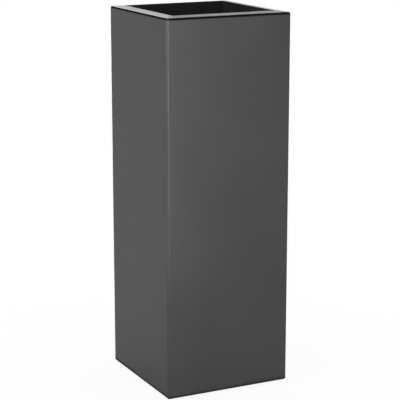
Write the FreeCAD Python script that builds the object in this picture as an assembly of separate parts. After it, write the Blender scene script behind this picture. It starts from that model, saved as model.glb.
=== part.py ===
import FreeCAD, Part
import math
import os

Vector = FreeCAD.Vector

# Column planter of folded sheet steel with a lift-out planting liner.
# Millimetres, +Z up. The origin is on the floor under the middle of the column.
# The front wall faces -Y and the left wall faces -X.

# Column shell
WIDTH = 355.0
DEPTH = 355.0
HEIGHT = 1005.0
SHEET = 1.2
BEND = 4.5
RIM_WIDTH = 32.0
RIM_RISE = 3.0
LIP_DEPTH = 42.0
LIP_BEND = 2.5
BASE_FLANGE = 25.0
FOOT_GAP = 3.0

# Angles that back the two corner seams
SEAM_LEG = 22.0
SEAM_SHEET = 1.5
SEAM_MARGIN = 6.0

# Floor tray on the base flanges
TRAY_HEIGHT = 25.0
TRAY_SHEET = 1.2
TRAY_CLEARANCE = 0.3
RIVET_RADIUS = 2.0
RIVET_HEAD_RADIUS = 4.0
RIVET_HEAD_HEIGHT = 1.3
RIVET_TAIL_RADIUS = 3.2
RIVET_TAIL_HEIGHT = 2.0
RIVET_PITCH = 200.0
HOLE_CLEARANCE = 0.15

# Feet, with a sunk screw, a sealing washer and a nut each
FOOT_RADIUS = 16.0
FOOT_MARGIN = 5.0
FOOT_EDGE = 1.0
SCREW_RADIUS = 2.0
HEAD_RADIUS = 3.8
HEAD_HEIGHT = 2.1
HEAD_SINK = 0.5
HEAD_CLEARANCE = 0.4
DRIVE_WIDTH = 0.9
DRIVE_LENGTH = 4.6
DRIVE_DEPTH = 1.1
SCREW_END = 1.2
WASHER_RADIUS = 6.0
WASHER_THICK = 1.2
NUT_ACROSS = 7.0
NUT_HEIGHT = 3.2
THREAD_CLEARANCE = 0.05

# Drain hole in the tray and its stopper
DRAIN_RADIUS = 12.5
PLUG_CLEARANCE = 0.1
PLUG_REACH = 1.5
PLUG_FLANGE_OVERLAP = 5.5
PLUG_FLANGE_HEIGHT = 3.0
PLUG_WAIST_RADIUS = 5.0
PLUG_WAIST_HEIGHT = 7.0
PLUG_KNOB_RADIUS = 9.0
PLUG_KNOB_HEIGHT = 7.0
PLUG_ROUND = 1.4

# Planting liner
LINER_CLEARANCE = 3.0
LINER_DROP = 3.0
LINER_HEIGHT = 300.0
LINER_SHEET = 1.0
LINER_CORNER = 12.0
LINER_BEND = 5.0
HEM_HEIGHT = 12.0
LINER_HOLE_RADIUS = 6.0
LINER_HOLE_SPREAD = 80.0

# Cradle of angle bars under the liner
BAR_LEG = 28.0
BAR_UPRIGHT = 20.0
BAR_SHEET = 2.0
BAR_BEND = 3.5
CRADLE_CLEARANCE = 1.5

# Handles and their brackets inside the liner
WIRE_RADIUS = 2.5
WIRE_CLEARANCE = 0.1
PIVOT_DROP = 32.0
PIVOT_OFFSET = 9.5
EAR_SPACING = 116.0
EAR_SHEET = 2.0
EAR_RADIUS = 7.0
BRACKET_LENGTH = 20.0
BRACKET_HEIGHT = 28.0
BRACKET_RIVET_RADIUS = 1.6
BRACKET_RIVET_PITCH = 15.0
BRACKET_HEAD_RADIUS = 3.2
BRACKET_HEAD_HEIGHT = 1.0
BRACKET_TAIL_RADIUS = 2.8
BRACKET_TAIL_HEIGHT = 0.8
HANDLE_DROP = 55.0
HANDLE_SHOULDER = 9.0
HANDLE_PLAY = 1.0
HANDLE_PIN_END = 4.0
GRIP_BEND = 14.0

# Levels and half sizes that follow from the values above
HALF_WIDTH = WIDTH / 2
HALF_DEPTH = DEPTH / 2
FLANGE_TOP = FOOT_GAP + SHEET
TRAY_FLOOR = FLANGE_TOP + TRAY_SHEET
RIM_FOLD_LEVEL = HEIGHT - RIM_RISE - BEND
LIP_FOLD_LEVEL = HEIGHT - LIP_BEND
LIP_BOTTOM = HEIGHT - LIP_DEPTH
LINER_WIDTH = WIDTH - 2 * (RIM_WIDTH + LINER_CLEARANCE)
LINER_DEPTH = DEPTH - 2 * (RIM_WIDTH + LINER_CLEARANCE)
LINER_TOP = LIP_BOTTOM - LINER_DROP
LINER_BOTTOM = LINER_TOP - LINER_HEIGHT
LINER_INNER_FACE = LINER_WIDTH / 2 - LINER_SHEET
PIVOT_X = LINER_INNER_FACE - PIVOT_OFFSET
PIVOT_Z = LINER_TOP - PIVOT_DROP
UP = Vector(0, 0, 1)
ORIGIN = Vector(0, 0, 0)


def box(x0, x1, y0, y1, z0, z1):
    return Part.makeBox(x1 - x0, y1 - y0, z1 - z0, Vector(x0, y0, z0))


def rod(radius, x, y, z0, z1):
    return Part.makeCylinder(radius, z1 - z0, Vector(x, y, z0))


def turned_about_z(shape, angle):
    copy = shape.copy()
    copy.rotate(ORIGIN, UP, angle)
    return copy


def mirrored_x(shape):
    return shape.mirror(ORIGIN, Vector(1, 0, 0))


def mirrored_y(shape):
    return shape.mirror(ORIGIN, Vector(0, 1, 0))


def on_circle(center, radius, angle):
    """Point of the YZ plane at an angle in degrees from +Y."""
    turn = math.radians(angle)
    return Vector(0, center[0] + radius * math.cos(turn), center[1] + radius * math.sin(turn))


def chain(start, arcs, end):
    """Edges in the YZ plane: straight runs from start to end, joined by the arcs between them."""
    edges = []
    here = Vector(0, *start)
    for center, radius, first, last in arcs:
        entry = on_circle(center, radius, first)
        middle = on_circle(center, radius, (first + last) / 2)
        leave = on_circle(center, radius, last)
        if here.distanceToPoint(entry) > 1e-6:
            edges.append(Part.makeLine(here, entry))
        edges.append(Part.Arc(entry, middle, leave).toShape())
        here = leave
    edges.append(Part.makeLine(here, Vector(0, *end)))
    return edges


def face_from(edges):
    return Part.Face(Part.Wire(Part.__sortEdges__(edges)))


def angle_face(leg_y, leg_z, sheet, bend):
    """Section of an angle bar: outer corner at the origin, legs along +Y and +Z."""
    center = (bend, bend)
    outer = chain((0, leg_z), [(center, bend, 180, 270)], (leg_y, 0))
    inner = chain((sheet, leg_z), [(center, bend - sheet, 180, 270)], (leg_y, sheet))
    ends = [
        Part.makeLine(Vector(0, 0, leg_z), Vector(0, sheet, leg_z)),
        Part.makeLine(Vector(0, leg_y, 0), Vector(0, leg_y, sheet)),
    ]
    return face_from(outer + inner + ends)


def rounded_block(width, depth, corner, z0, z1):
    """Upright block with round corners, centred on the Z axis."""
    block = box(-width / 2, width / 2, -depth / 2, depth / 2, z0, z1)
    upright = [edge for edge in block.Edges if abs(edge.BoundBox.ZLength - (z1 - z0)) < 1e-6]
    return block.makeFillet(corner, upright)


def dished_block(width, depth, corner, bend, z0, z1):
    """Rounded block whose bottom edge is rounded too."""
    block = rounded_block(width, depth, corner, z0, z1)
    bottom = [edge for edge in block.Edges if edge.BoundBox.ZMax < z0 + 1e-6]
    return block.makeFillet(bend, bottom)


def pan(width, depth, height, sheet, corner, bend, z0):
    """Open-topped pan of even wall."""
    outer = dished_block(width, depth, corner, bend, z0, z0 + height)
    inner = dished_block(
        width - 2 * sheet, depth - 2 * sheet, corner - sheet, bend - sheet,
        z0 + sheet, z0 + height + sheet)
    return outer.cut(inner)


def dome(radius, height):
    """Low round head on the plane Z = 0, bulging down."""
    ball_radius = (radius ** 2 + height ** 2) / (2 * height)
    ball = Part.makeSphere(ball_radius, Vector(0, 0, ball_radius - height))
    return ball.common(rod(radius + height, 0, 0, -height, 0))


def rivet(radius, grip, head_radius, head_height, tail_radius, tail_height):
    """Blind rivet along +Z: round head below Z = 0, set tail above the grip."""
    shank = rod(radius, 0, 0, -head_height / 2, grip + tail_height / 2)
    tail = rod(tail_radius, 0, 0, grip, grip + tail_height)
    return dome(head_radius, head_height).fuse([shank, tail]).removeSplitter()


def shell_section():
    """Upright section of a shell wall: Y is the distance in from the wall's outer face."""
    lip_center = (RIM_WIDTH - LIP_BEND, LIP_FOLD_LEVEL)
    rim_center = (BEND, RIM_FOLD_LEVEL)
    base_center = (BEND, FOOT_GAP + BEND)
    run = lip_center[0] - rim_center[0]
    climb = lip_center[1] - rim_center[1]
    slope = math.atan2(climb, run) - math.asin((BEND - LIP_BEND) / math.hypot(run, climb))
    rim_normal = 90 + math.degrees(slope)

    def sheet_side(inset):
        arcs = [
            (lip_center, LIP_BEND - inset, 0, rim_normal),
            (rim_center, BEND - inset, rim_normal, 180),
            (base_center, BEND - inset, 180, 270),
        ]
        return chain((RIM_WIDTH - inset, LIP_BOTTOM), arcs, (BASE_FLANGE, FOOT_GAP + inset))

    lip_edge = Part.makeLine(Vector(0, RIM_WIDTH, LIP_BOTTOM), Vector(0, RIM_WIDTH - SHEET, LIP_BOTTOM))
    base_edge = Part.makeLine(Vector(0, BASE_FLANGE, FOOT_GAP), Vector(0, BASE_FLANGE, FLANGE_TOP))
    return face_from(sheet_side(0) + sheet_side(SHEET) + [lip_edge, base_edge])


def shell_side(length):
    """One wall with its rim, lip and base flange, mitred at both ends, and the corner at its +X end."""
    section = shell_section()
    fold_line = length / 2 - BEND
    reach = max(RIM_WIDTH, BASE_FLANGE) + SHEET
    mitre = length / 2 - reach
    plan = [
        Vector(-fold_line, -SHEET, 0),
        Vector(fold_line, -SHEET, 0),
        Vector(fold_line, BEND, 0),
        Vector(mitre, reach, 0),
        Vector(-mitre, reach, 0),
        Vector(-fold_line, BEND, 0),
    ]
    trim = Part.Face(Part.makePolygon(plan + plan[:1])).extrude(Vector(0, 0, HEIGHT + SHEET))
    strip = section.extrude(Vector(length, 0, 0))
    strip.translate(Vector(-length / 2, 0, 0))
    wall = strip.common(trim)
    outside_fold = box(-SHEET, SHEET, -SHEET, BEND, 0, HEIGHT + SHEET)
    corner = section.common(outside_fold).revolve(Vector(0, BEND, 0), UP, 90)
    corner.translate(Vector(fold_line, 0, 0))
    return wall.fuse(corner)


def base_rivet_places():
    """Two rivets on each side, in the middle of the flat of the base flange."""
    inset = (BEND + BASE_FLANGE) / 2
    step = RIVET_PITCH / 2
    x = HALF_WIDTH - inset
    y = HALF_DEPTH - inset
    return [(side * x, end * step) for side in (-1, 1) for end in (-1, 1)] + [
        (end * step, side * y) for side in (-1, 1) for end in (-1, 1)]


def base_rivet_holes():
    radius = RIVET_RADIUS + HOLE_CLEARANCE
    return [rod(radius, x, y, 0, TRAY_FLOOR + SHEET) for x, y in base_rivet_places()]


def front_shell():
    """Half shell: left wall and front wall, folded from one sheet."""
    left = shell_side(DEPTH)
    left.rotate(ORIGIN, UP, -90)
    left.translate(Vector(-HALF_WIDTH, 0, 0))
    front = shell_side(WIDTH)
    front.translate(Vector(0, -HALF_DEPTH, 0))
    return left.fuse(front).removeSplitter().cut(base_rivet_holes())


def seam_angle():
    """Angle behind the seam at the front right corner."""
    length = RIM_FOLD_LEVEL - FLANGE_TOP - TRAY_HEIGHT - 2 * SEAM_MARGIN
    angle = angle_face(SEAM_LEG, SEAM_LEG, SEAM_SHEET, BEND).extrude(Vector(length, 0, 0))
    angle.rotate(ORIGIN, Vector(0, 1, 0), -90)
    angle.translate(Vector(HALF_WIDTH - SHEET, SHEET - HALF_DEPTH, FLANGE_TOP + TRAY_HEIGHT + SEAM_MARGIN))
    return angle


def foot_places():
    """Name and place of each foot, inside the base flange."""
    inset = BASE_FLANGE + FOOT_MARGIN + FOOT_RADIUS
    x = HALF_WIDTH - inset
    y = HALF_DEPTH - inset
    return {
        "foot_front_left": (-x, -y),
        "foot_front_right": (x, -y),
        "foot_rear_left": (-x, y),
        "foot_rear_right": (x, y),
    }


def floor_tray():
    tray = pan(
        WIDTH - 2 * (SHEET + TRAY_CLEARANCE), DEPTH - 2 * (SHEET + TRAY_CLEARANCE),
        TRAY_HEIGHT, TRAY_SHEET, BEND + TRAY_SHEET, BEND, FLANGE_TOP)
    holes = base_rivet_holes()
    holes.append(rod(DRAIN_RADIUS, 0, 0, 0, TRAY_FLOOR + SHEET))
    for x, y in foot_places().values():
        holes.append(rod(SCREW_RADIUS + HOLE_CLEARANCE, x, y, 0, TRAY_FLOOR + SHEET))
    return tray.cut(holes)


def tray_rivets():
    one = rivet(
        RIVET_RADIUS, SHEET + TRAY_SHEET, RIVET_HEAD_RADIUS, RIVET_HEAD_HEIGHT,
        RIVET_TAIL_RADIUS, RIVET_TAIL_HEIGHT)
    rivets = []
    for x, y in base_rivet_places():
        copy = one.copy()
        copy.translate(Vector(x, y, FOOT_GAP))
        rivets.append(copy)
    return Part.makeCompound(rivets)


def foot():
    """Rubber pad under the tray, with a sunk hole for its screw head."""
    pad = rod(FOOT_RADIUS, 0, 0, 0, FLANGE_TOP)
    floor_edge = [edge for edge in pad.Edges if edge.BoundBox.ZMax < 1e-6]
    pad = pad.makeFillet(FOOT_EDGE, floor_edge)
    recess = rod(HEAD_RADIUS + HEAD_CLEARANCE, 0, 0, 0, HEAD_SINK + HEAD_HEIGHT)
    hole = rod(SCREW_RADIUS + HOLE_CLEARANCE, 0, 0, 0, FLANGE_TOP)
    return pad.cut([recess, hole])


def foot_screw():
    """Pan-head screw with a cross recess, pointing up."""
    seat = HEAD_SINK + HEAD_HEIGHT
    tip = TRAY_FLOOR + WASHER_THICK + NUT_HEIGHT + SCREW_END
    head = rod(HEAD_RADIUS, 0, 0, HEAD_SINK, seat)
    shank = rod(SCREW_RADIUS, 0, 0, seat, tip)
    half = DRIVE_WIDTH / 2
    reach = DRIVE_LENGTH / 2
    blade = box(-reach, reach, -half, half, 0, HEAD_SINK + DRIVE_DEPTH)
    return head.fuse(shank).removeSplitter().cut([blade, turned_about_z(blade, 90)])


def foot_washer():
    ring = rod(WASHER_RADIUS, 0, 0, TRAY_FLOOR, TRAY_FLOOR + WASHER_THICK)
    return ring.cut(rod(SCREW_RADIUS + HOLE_CLEARANCE, 0, 0, 0, TRAY_FLOOR + 2 * WASHER_THICK))


def foot_nut():
    seat = TRAY_FLOOR + WASHER_THICK
    corner_radius = NUT_ACROSS / math.sqrt(3)
    corners = [Vector(*(on_circle((0, 0), corner_radius, 60 * step)[1:3]), seat) for step in range(7)]
    block = Part.Face(Part.makePolygon(corners)).extrude(Vector(0, 0, NUT_HEIGHT))
    return block.cut(rod(SCREW_RADIUS + THREAD_CLEARANCE, 0, 0, seat, seat + NUT_HEIGHT))


def at_feet(piece):
    """Copies of a piece on the four foot centres."""
    copies = []
    for x, y in foot_places().values():
        copy = piece.copy()
        copy.translate(Vector(x, y, 0))
        copies.append(copy)
    return Part.makeCompound(copies)


def drain_plug():
    """Rubber stopper: stem in the hole, flange on the tray, waist and knob to pull it by."""
    flange_top = TRAY_FLOOR + PLUG_FLANGE_HEIGHT
    waist_top = flange_top + PLUG_WAIST_HEIGHT
    knob_top = waist_top + PLUG_KNOB_HEIGHT
    stem = rod(DRAIN_RADIUS - PLUG_CLEARANCE, 0, 0, FLANGE_TOP - PLUG_REACH, TRAY_FLOOR)
    flange = rod(DRAIN_RADIUS + PLUG_FLANGE_OVERLAP, 0, 0, TRAY_FLOOR, flange_top)
    top_edge = [edge for edge in flange.Edges if edge.BoundBox.ZMin > TRAY_FLOOR + 1e-6]
    flange = flange.makeFillet(PLUG_ROUND, top_edge)
    waist = rod(PLUG_WAIST_RADIUS, 0, 0, flange_top, waist_top)
    knob = rod(PLUG_KNOB_RADIUS, 0, 0, waist_top, knob_top)
    knob_edges = [edge for edge in knob.Edges if edge.BoundBox.ZLength < 1e-6]
    knob = knob.makeFillet(PLUG_ROUND, knob_edges)
    return stem.fuse([flange, waist, knob]).removeSplitter()


def cradle_front():
    """Angle bar from wall to wall: the liner stands on its leg, inside its upright."""
    bar = angle_face(BAR_LEG, BAR_UPRIGHT, BAR_SHEET, BAR_BEND)
    length = WIDTH - 2 * SHEET
    bar = bar.extrude(Vector(length, 0, 0))
    outer_face = LINER_DEPTH / 2 + CRADLE_CLEARANCE + BAR_SHEET
    bar.translate(Vector(-length / 2, -outer_face, LINER_BOTTOM - BAR_SHEET))
    return bar


def cradle_left():
    """Angle bar between the front and rear bars."""
    bar = angle_face(BAR_LEG, BAR_UPRIGHT, BAR_SHEET, BAR_BEND)
    length = LINER_DEPTH + 2 * (CRADLE_CLEARANCE + BAR_SHEET - BAR_LEG)
    bar = bar.extrude(Vector(length, 0, 0))
    bar.translate(Vector(-length / 2, 0, 0))
    bar.rotate(ORIGIN, UP, -90)
    outer_face = LINER_WIDTH / 2 + CRADLE_CLEARANCE + BAR_SHEET
    bar.translate(Vector(-outer_face, 0, LINER_BOTTOM - BAR_SHEET))
    return bar


def bracket_rivet_places():
    """Y and Z of the rivets of the bracket at +X, +Y."""
    y = (EAR_SPACING + EAR_SHEET + BRACKET_LENGTH) / 2
    step = BRACKET_RIVET_PITCH / 2
    return [(y, PIVOT_Z - step), (y, PIVOT_Z + step)]


def bracket_rivet_holes():
    """Holes for the bracket at +X, +Y, through its plate and the liner's wall."""
    radius = BRACKET_RIVET_RADIUS + HOLE_CLEARANCE
    start = LINER_INNER_FACE - 2 * EAR_SHEET
    length = 2 * EAR_SHEET + 2 * LINER_SHEET
    return [
        Part.makeCylinder(radius, length, Vector(start, y, z), Vector(1, 0, 0))
        for y, z in bracket_rivet_places()]


def on_four_brackets(shapes):
    """The shapes of the bracket at +X, +Y and their mirror images at the other three."""
    pair = shapes + [mirrored_y(shape) for shape in shapes]
    return pair + [mirrored_x(shape) for shape in pair]


def planting_liner():
    """Sheet tub with a hemmed top edge and drain holes."""
    tub = pan(
        LINER_WIDTH, LINER_DEPTH, LINER_HEIGHT, LINER_SHEET, LINER_CORNER, LINER_BEND, LINER_BOTTOM)
    hem_low = LINER_TOP - HEM_HEIGHT
    hem = rounded_block(
        LINER_WIDTH - LINER_SHEET, LINER_DEPTH - LINER_SHEET, LINER_CORNER - LINER_SHEET / 2,
        hem_low, LINER_TOP)
    mouth = rounded_block(
        LINER_WIDTH - 4 * LINER_SHEET, LINER_DEPTH - 4 * LINER_SHEET, LINER_CORNER - 2 * LINER_SHEET,
        hem_low, LINER_TOP)
    spread = LINER_HOLE_SPREAD
    places = [(0, 0)] + [(x, y) for x in (-spread, spread) for y in (-spread, spread)]
    drains = [
        rod(LINER_HOLE_RADIUS, x, y, LINER_BOTTOM - LINER_SHEET, LINER_BOTTOM + 2 * LINER_SHEET)
        for x, y in places]
    tub = tub.fuse(hem.cut(mouth)).removeSplitter()
    return tub.cut(drains + on_four_brackets(bracket_rivet_holes()))


def handle_bracket():
    """Bracket at +X, +Y: plate on the liner's wall and an ear with the pivot hole."""
    ear_low = (EAR_SPACING - EAR_SHEET) / 2
    ear_high = ear_low + EAR_SHEET
    plate = box(
        LINER_INNER_FACE - EAR_SHEET, LINER_INNER_FACE, ear_low, ear_high + BRACKET_LENGTH,
        PIVOT_Z - BRACKET_HEIGHT / 2, PIVOT_Z + BRACKET_HEIGHT / 2)
    arm = box(PIVOT_X, LINER_INNER_FACE, ear_low, ear_high, PIVOT_Z - EAR_RADIUS, PIVOT_Z + EAR_RADIUS)
    pivot = Vector(PIVOT_X, ear_low, PIVOT_Z)
    along = Vector(0, 1, 0)
    eye = Part.makeCylinder(EAR_RADIUS, EAR_SHEET, pivot, along)
    hole = Part.makeCylinder(WIRE_RADIUS + WIRE_CLEARANCE, EAR_SHEET, pivot, along)
    return plate.fuse([arm, eye]).removeSplitter().cut([hole] + bracket_rivet_holes())


def bracket_rivets():
    one = rivet(
        BRACKET_RIVET_RADIUS, EAR_SHEET + LINER_SHEET, BRACKET_HEAD_RADIUS, BRACKET_HEAD_HEIGHT,
        BRACKET_TAIL_RADIUS, BRACKET_TAIL_HEIGHT)
    one.rotate(ORIGIN, Vector(0, 1, 0), 90)
    pair = []
    for y, z in bracket_rivet_places():
        copy = one.copy()
        copy.translate(Vector(LINER_INNER_FACE - EAR_SHEET, y, z))
        pair.append(copy)
    return Part.makeCompound(on_four_brackets(pair))


def right_handle():
    """Wire bail hanging from its pivot pins, in a plane along the liner's right wall."""
    ear_inner = (EAR_SPACING - EAR_SHEET) / 2
    pin_end = ear_inner + EAR_SHEET + HANDLE_PIN_END
    leg = ear_inner - HANDLE_PLAY - HANDLE_SHOULDER
    grip = PIVOT_Z - HANDLE_DROP
    arcs = [
        ((-leg - HANDLE_SHOULDER, PIVOT_Z - HANDLE_SHOULDER), HANDLE_SHOULDER, 90, 0),
        ((-leg + GRIP_BEND, grip + GRIP_BEND), GRIP_BEND, 180, 270),
        ((leg - GRIP_BEND, grip + GRIP_BEND), GRIP_BEND, 270, 360),
        ((leg + HANDLE_SHOULDER, PIVOT_Z - HANDLE_SHOULDER), HANDLE_SHOULDER, 180, 90),
    ]
    path = Part.Wire(chain((-pin_end, PIVOT_Z), arcs, (pin_end, PIVOT_Z)))
    end = Part.Circle(Vector(0, -pin_end, PIVOT_Z), Vector(0, 1, 0), WIRE_RADIUS).toShape()
    bail = path.makePipeShell([Part.Wire(end)], True, False)
    bail.translate(Vector(PIVOT_X, 0, 0))
    return bail


def pieces():
    shell = front_shell()
    angle = seam_angle()
    bar_front = cradle_front()
    bar_left = cradle_left()
    handle = right_handle()
    named = {
        "front_shell": shell,
        "rear_shell": turned_about_z(shell, 180),
        "seam_angle_right": angle,
        "seam_angle_left": turned_about_z(angle, 180),
        "floor_tray": floor_tray(),
        "tray_rivets": tray_rivets(),
        "foot_screws": at_feet(foot_screw()),
        "foot_washers": at_feet(foot_washer()),
        "foot_nuts": at_feet(foot_nut()),
        "cradle_front": bar_front,
        "cradle_rear": turned_about_z(bar_front, 180),
        "cradle_left": bar_left,
        "cradle_right": turned_about_z(bar_left, 180),
        "planting_liner": planting_liner(),
        "handle_brackets": Part.makeCompound(on_four_brackets([handle_bracket()])),
        "bracket_rivets": bracket_rivets(),
        "right_handle": handle,
        "left_handle": turned_about_z(handle, 180),
        "drain_plug": drain_plug(),
    }
    pad = foot()
    for name, (x, y) in foot_places().items():
        copy = pad.copy()
        copy.translate(Vector(x, y, 0))
        named[name] = copy
    return named


os.makedirs("parts", exist_ok=True)
for name, shape in pieces().items():
    shape.exportStep(f"parts/{name}.step")
    print(name, "solids", len(shape.Solids), "valid", shape.isValid(), "volume", round(shape.Volume))
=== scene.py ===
# %% [markdown]
# # A column planter folded from sheet steel
#
# The real object is a tall square column. Two sheets are folded to an L, joined at two corners
# and turned in at the top and the bottom, so what we see is smooth wall, soft bends and a flat rim.
# Inside, a lift-out tub with two wire handles stands on four bars, and a tray with a rubber stopper
# closes the foot.
#
# We load the measured solids first. They stay where they are, and every new piece is built round them.

# %% Load the measured solids
import math

import bmesh
import bpy
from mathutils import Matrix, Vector


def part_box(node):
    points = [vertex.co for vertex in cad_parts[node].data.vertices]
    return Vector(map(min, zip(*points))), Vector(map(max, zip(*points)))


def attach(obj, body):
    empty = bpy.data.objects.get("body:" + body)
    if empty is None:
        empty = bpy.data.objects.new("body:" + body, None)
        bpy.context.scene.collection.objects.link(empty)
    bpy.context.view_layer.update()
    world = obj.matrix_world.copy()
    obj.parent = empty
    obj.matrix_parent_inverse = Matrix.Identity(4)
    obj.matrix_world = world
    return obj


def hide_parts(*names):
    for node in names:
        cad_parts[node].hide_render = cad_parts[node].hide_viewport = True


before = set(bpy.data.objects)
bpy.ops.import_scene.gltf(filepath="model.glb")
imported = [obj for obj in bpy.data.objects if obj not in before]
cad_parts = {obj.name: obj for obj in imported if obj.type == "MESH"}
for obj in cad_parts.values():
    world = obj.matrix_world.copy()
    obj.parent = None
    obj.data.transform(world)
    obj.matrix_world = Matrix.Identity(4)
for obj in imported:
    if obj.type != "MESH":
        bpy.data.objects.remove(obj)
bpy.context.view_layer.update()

# %% [markdown]
# ## Tools for working by hand
#
# Every piece below is modelled as one would do it at the screen: add a block, go into edit mode,
# select some faces or edges, and run an operator on them. A script has no mouse, so it selects by
# place and direction instead. The loaded solids are still selected, and an operator acts on all that is
# selected, so everything is deselected first.

# %% Start a block and select parts of it by place
def name_piece(piece, name):
    """Gives an object and its mesh one name."""
    piece.name = name
    piece.data.name = name
    return piece


def fix_place():
    """Puts the place, turn and size of the selected object into its mesh."""
    bpy.ops.object.transform_apply(location=True, rotation=True, scale=True)


def start_block(name, low, high):
    """Adds a block between two corners and opens it in edit mode, with its place in its mesh."""
    bpy.ops.object.select_all(action="DESELECT")
    low, high = Vector(low), Vector(high)
    bpy.ops.mesh.primitive_cube_add(size=1, location=(low + high) / 2)
    piece = name_piece(bpy.context.object, name)
    piece.scale = high - low
    fix_place()
    bpy.ops.object.mode_set(mode="EDIT")
    return piece


def pick(kind, test):
    """Selects the faces or edges whose middle and direction pass the test, and says how many."""
    bpy.ops.mesh.select_mode(type=kind)
    bpy.ops.mesh.select_all(action="DESELECT")
    mesh = bpy.context.object.data
    parts = bmesh.from_edit_mesh(mesh)
    picked = 0
    for part in parts.faces if kind == "FACE" else parts.edges:
        if kind == "FACE":
            middle, direction = part.calc_center_median(), part.normal
        else:
            first, last = (corner.co for corner in part.verts)
            middle, direction = (first + last) / 2, (last - first).normalized()
        if test(middle, direction):
            part.select = True
            picked += 1
    parts.select_flush_mode()
    bmesh.update_edit_mesh(mesh)
    return picked


bpy.ops.object.select_all(action="DESELECT")
print("objects still selected", len(bpy.context.selected_objects))

# %% [markdown]
# ## The camera
#
# The camera could be moved by eye until the outlines agree. But the straight edges of the column fix
# it: they meet in three vanishing points, and these give the focal length and the tilt. The camera
# looks a little down, past the near upright edge.

# %% Place the camera
CAMERA_PLACE = (-1.7285, -3.4677, 1.3976)
CAMERA_TILT_DOWN = math.radians(13.233)
CAMERA_TURN = math.radians(-26.544)
LENS_MM = 132.37
SENSOR_MM = 36.0

bpy.ops.object.camera_add(
    location=CAMERA_PLACE, rotation=(math.pi / 2 - CAMERA_TILT_DOWN, 0, CAMERA_TURN))
camera = bpy.context.object
camera.name = "photo_camera"
camera.data.lens = LENS_MM
camera.data.sensor_width = SENSOR_MM
bpy.context.scene.camera = camera
print("camera", tuple(round(place, 3) for place in camera.location), "lens", camera.data.lens)

# %% [markdown]
# ## The folded skin
#
# A press brake turns a flat sheet round a fixed radius, so all outer bends are alike. We could extrude
# a section along each wall, but the corners where three bends meet would have to be patched. A block
# with all its edges bevelled has those corners ready. Its flat top is then inset and lifted to the
# rim, drawn down to the lip, and opened. The bottom is inset to the flange that carries the tray.

# %% Fold the skin of the whole column
HALF = 0.1775
FOOT_GAP = 0.003
RIM_OUTER_LEVEL = 1.0024
BEND = 0.0055
BEND_STEPS = 8
RIM_WIDTH = 0.032
RIM_RISE = 0.00284
LIP_DEPTH = 0.042
LIP_BEND = 0.0025
LIP_BEND_STEPS = 5
BASE_FLANGE = 0.025
FLAT = 0.999
NEAR = 1e-5


def bevel_picked(width, steps):
    """Rounds the selected edges."""
    bpy.ops.mesh.bevel(offset=width, offset_type="OFFSET", segments=steps, affect="EDGES")


def extrude_by(x, y, z):
    """Extrudes what is selected and moves it by this much."""
    bpy.ops.mesh.extrude_region_move(TRANSFORM_OT_translate={"value": (x, y, z)})


skin = start_block("front_shell_sheet", (-HALF, -HALF, FOOT_GAP), (HALF, HALF, RIM_OUTER_LEVEL))
bpy.ops.mesh.select_all(action="SELECT")
bevel_picked(BEND, BEND_STEPS)
pick("FACE", lambda middle, normal: normal.z > FLAT)
bpy.ops.mesh.inset(thickness=RIM_WIDTH - BEND, depth=RIM_RISE)
extrude_by(0, 0, -LIP_DEPTH)
bpy.ops.mesh.delete(type="FACE")
pick("FACE", lambda middle, normal: normal.z < -FLAT)
bpy.ops.mesh.inset(thickness=BASE_FLANGE - BEND)
bpy.ops.mesh.delete(type="FACE")
rim_level = RIM_OUTER_LEVEL + RIM_RISE
lip_edges = pick("EDGE", lambda middle, way: abs(middle.z - rim_level) < NEAR)
bevel_picked(LIP_BEND, LIP_BEND_STEPS)
print("lip edges rounded", lip_edges, "skin faces", len(bmesh.from_edit_mesh(skin.data).faces))

# %% [markdown]
# ## Walls that are not quite flat
#
# Thin sheet never lies dead flat between two bends: it draws in by a fraction of a millimetre, and a
# satin coat shows it as slow changes of tone. A wall of one face can't do that, so it gets a grid first.
# Subdividing would split every strip of the bends both ways. Bisect cuts along one plane at a time, at
# the levels that we choose.

# %% Slice the walls into a grid
GRID = 0.0296


def slice_levels(low, high):
    """Evenly spaced levels between two limits, about one grid step apart."""
    count = round((high - low) / GRID)
    return [low + (high - low) * step / count for step in range(1, count)]


def slice_all(place, across):
    """Cuts all faces along the plane through a place, and keeps both sides."""
    bpy.ops.mesh.select_all(action="SELECT")
    bpy.ops.mesh.bisect(plane_co=place, plane_no=across)


for level in slice_levels(FOOT_GAP + BEND, RIM_OUTER_LEVEL - BEND):
    slice_all((0, 0, level), (0, 0, 1))
for across in ((1, 0, 0), (0, 1, 0)):
    for level in slice_levels(BEND - HALF, HALF - BEND):
        slice_all(Vector(across) * level, across)
bpy.ops.object.mode_set(mode="OBJECT")
print("skin faces after slicing", len(skin.data.polygons))

# %% [markdown]
# ## Draw the walls in
#
# A sculpting brush could push the walls in, but a script can't hold one. A Displace modifier does it by
# a soft cloud pattern, in the same way each time. A vertex group fades the push out towards the bends,
# so the edges stay straight.

# %% Push the walls inward
WALL_FADE = 0.07
WALL_DRAW = 0.0006
CLOUD_SIZE = 0.24


def apply_modifier(piece, kind, **settings):
    """Adds a modifier with these settings and applies it at once."""
    modifier = piece.modifiers.new(kind.lower(), kind)
    for setting, value in settings.items():
        setattr(modifier, setting, value)
    bpy.context.view_layer.objects.active = piece
    bpy.ops.object.modifier_apply(modifier=modifier.name)


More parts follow.
